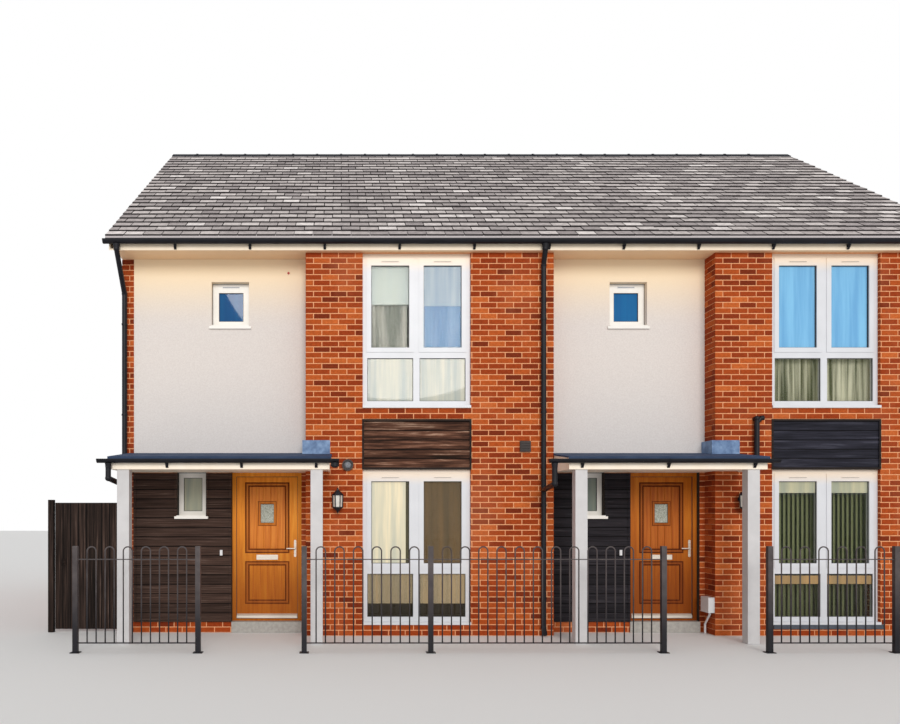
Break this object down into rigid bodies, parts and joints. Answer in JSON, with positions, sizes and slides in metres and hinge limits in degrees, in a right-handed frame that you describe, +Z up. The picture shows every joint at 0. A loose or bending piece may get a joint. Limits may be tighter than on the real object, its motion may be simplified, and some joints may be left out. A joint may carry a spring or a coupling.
{
  "type": "terraced house row",
  "caption": "Terraced houses of red brick and cream render under one slated roof, with timber cladding, porch canopies and bow-top railings.",
  "frame": {"origin": "on the ground under the ridge, at the middle of the party wall", "axes": "+X along the row to the right, -Y the front, +Z up"},
  "size_m": [12.483, 10.658, 8.3993],
  "materials": {
    "brick": "matte",
    "blockwork": "matte",
    "render": "matte",
    "slate": "matte",
    "ridge": "matte",
    "concrete": "matte",
    "floor_timber": "matte",
    "dark_timber": "matte",
    "black_timber": "matte",
    "gate_timber": "matte",
    "oak_finish": "satin",
    "white_frame": "satin",
    "glass": "gloss",
    "door_metal": "satin",
    "white_paint": "satin",
    "lead": "satin",
    "black_plastic": "satin",
    "cream_board": "satin",
    "black_steel": "satin",
    "brown_plastic": "satin",
    "white_plastic": "satin"
  },
  "bodies": {
    "root": {"ground_floor_slab": "concrete", "first_floor": "floor_timber", "gable_wall": "brick", "party_wall": "blockwork", "end_party_wall": "blockwork", "rear_wall": "brick", "bay_wall_1": "brick", "bay_wall_2": "brick", "hall_wall_1": "brick", "hall_wall_2": "brick", "render_wall_1": "render", "render_wall_2": "render", "timber_cladding_1": "dark_timber", "timber_cladding_2": "black_timber", "bay_panel_1": "dark_timber", "bay_panel_2": "black_timber", "bay_windows_1": "white_frame", "bay_windows_2": "white_frame", "small_windows_1": "white_frame", "small_windows_2": "white_frame", "front_glass_1": "glass", "front_glass_2": "glass", "rear_windows": "white_frame", "rear_glass": "glass", "door_frame_1": "oak_finish", "door_frame_2": "oak_finish", "door_hinges": "door_metal", "canopy_1": "white_paint", "canopy_2": "white_paint", "canopy_roof_1": "lead", "canopy_roof_2": "lead", "porch_posts_1": "white_paint", "porch_posts_2": "white_paint", "lead_flashings": "lead", "canopy_gutters": "black_plastic", "roof_front": "slate", "roof_rear": "slate", "ridge_tiles": "ridge", "eaves_boards": "cream_board", "verge_boards": "cream_board", "gutter_front": "black_plastic", "gutter_rear": "black_plastic", "downpipe_gable": "black_plastic", "downpipe_party": "black_plastic", "downpipe_rear": "black_plastic", "waste_pipe": "black_plastic", "railing_left": "black_steel", "railing_middle": "black_steel", "railing_right": "black_steel", "wall_lanterns": "black_steel", "wall_vents": "brown_plastic", "entrance_fittings": "white_plastic", "gate_posts": "gate_timber"},
    "front_door_1": {"front_door_1": "oak_finish", "door_glass_1": "glass", "door_furniture_1": "door_metal"},
    "front_door_2": {"front_door_2": "oak_finish", "door_glass_2": "glass", "door_furniture_2": "door_metal"},
    "side_gate": {"side_gate": "gate_timber"}
  },
  "joints": [
    {"name": "front_door_1_hinge", "type": "hinge", "parent": "root", "child": "front_door_1", "pos_m": [-4.15575, -4.001, 1.15], "axis": [0, 0, 1], "range_deg": [0, 90]},
    {"name": "front_door_2_hinge", "type": "hinge", "parent": "root", "child": "front_door_2", "pos_m": [1.36925, -4.001, 1.15], "axis": [0, 0, 1], "range_deg": [0, 90]},
    {"name": "side_gate_hinge", "type": "hinge", "parent": "root", "child": "side_gate", "pos_m": [-5.791, -4.0525, 0.9], "axis": [0, 0, -1], "range_deg": [0, 90]}
  ]
}
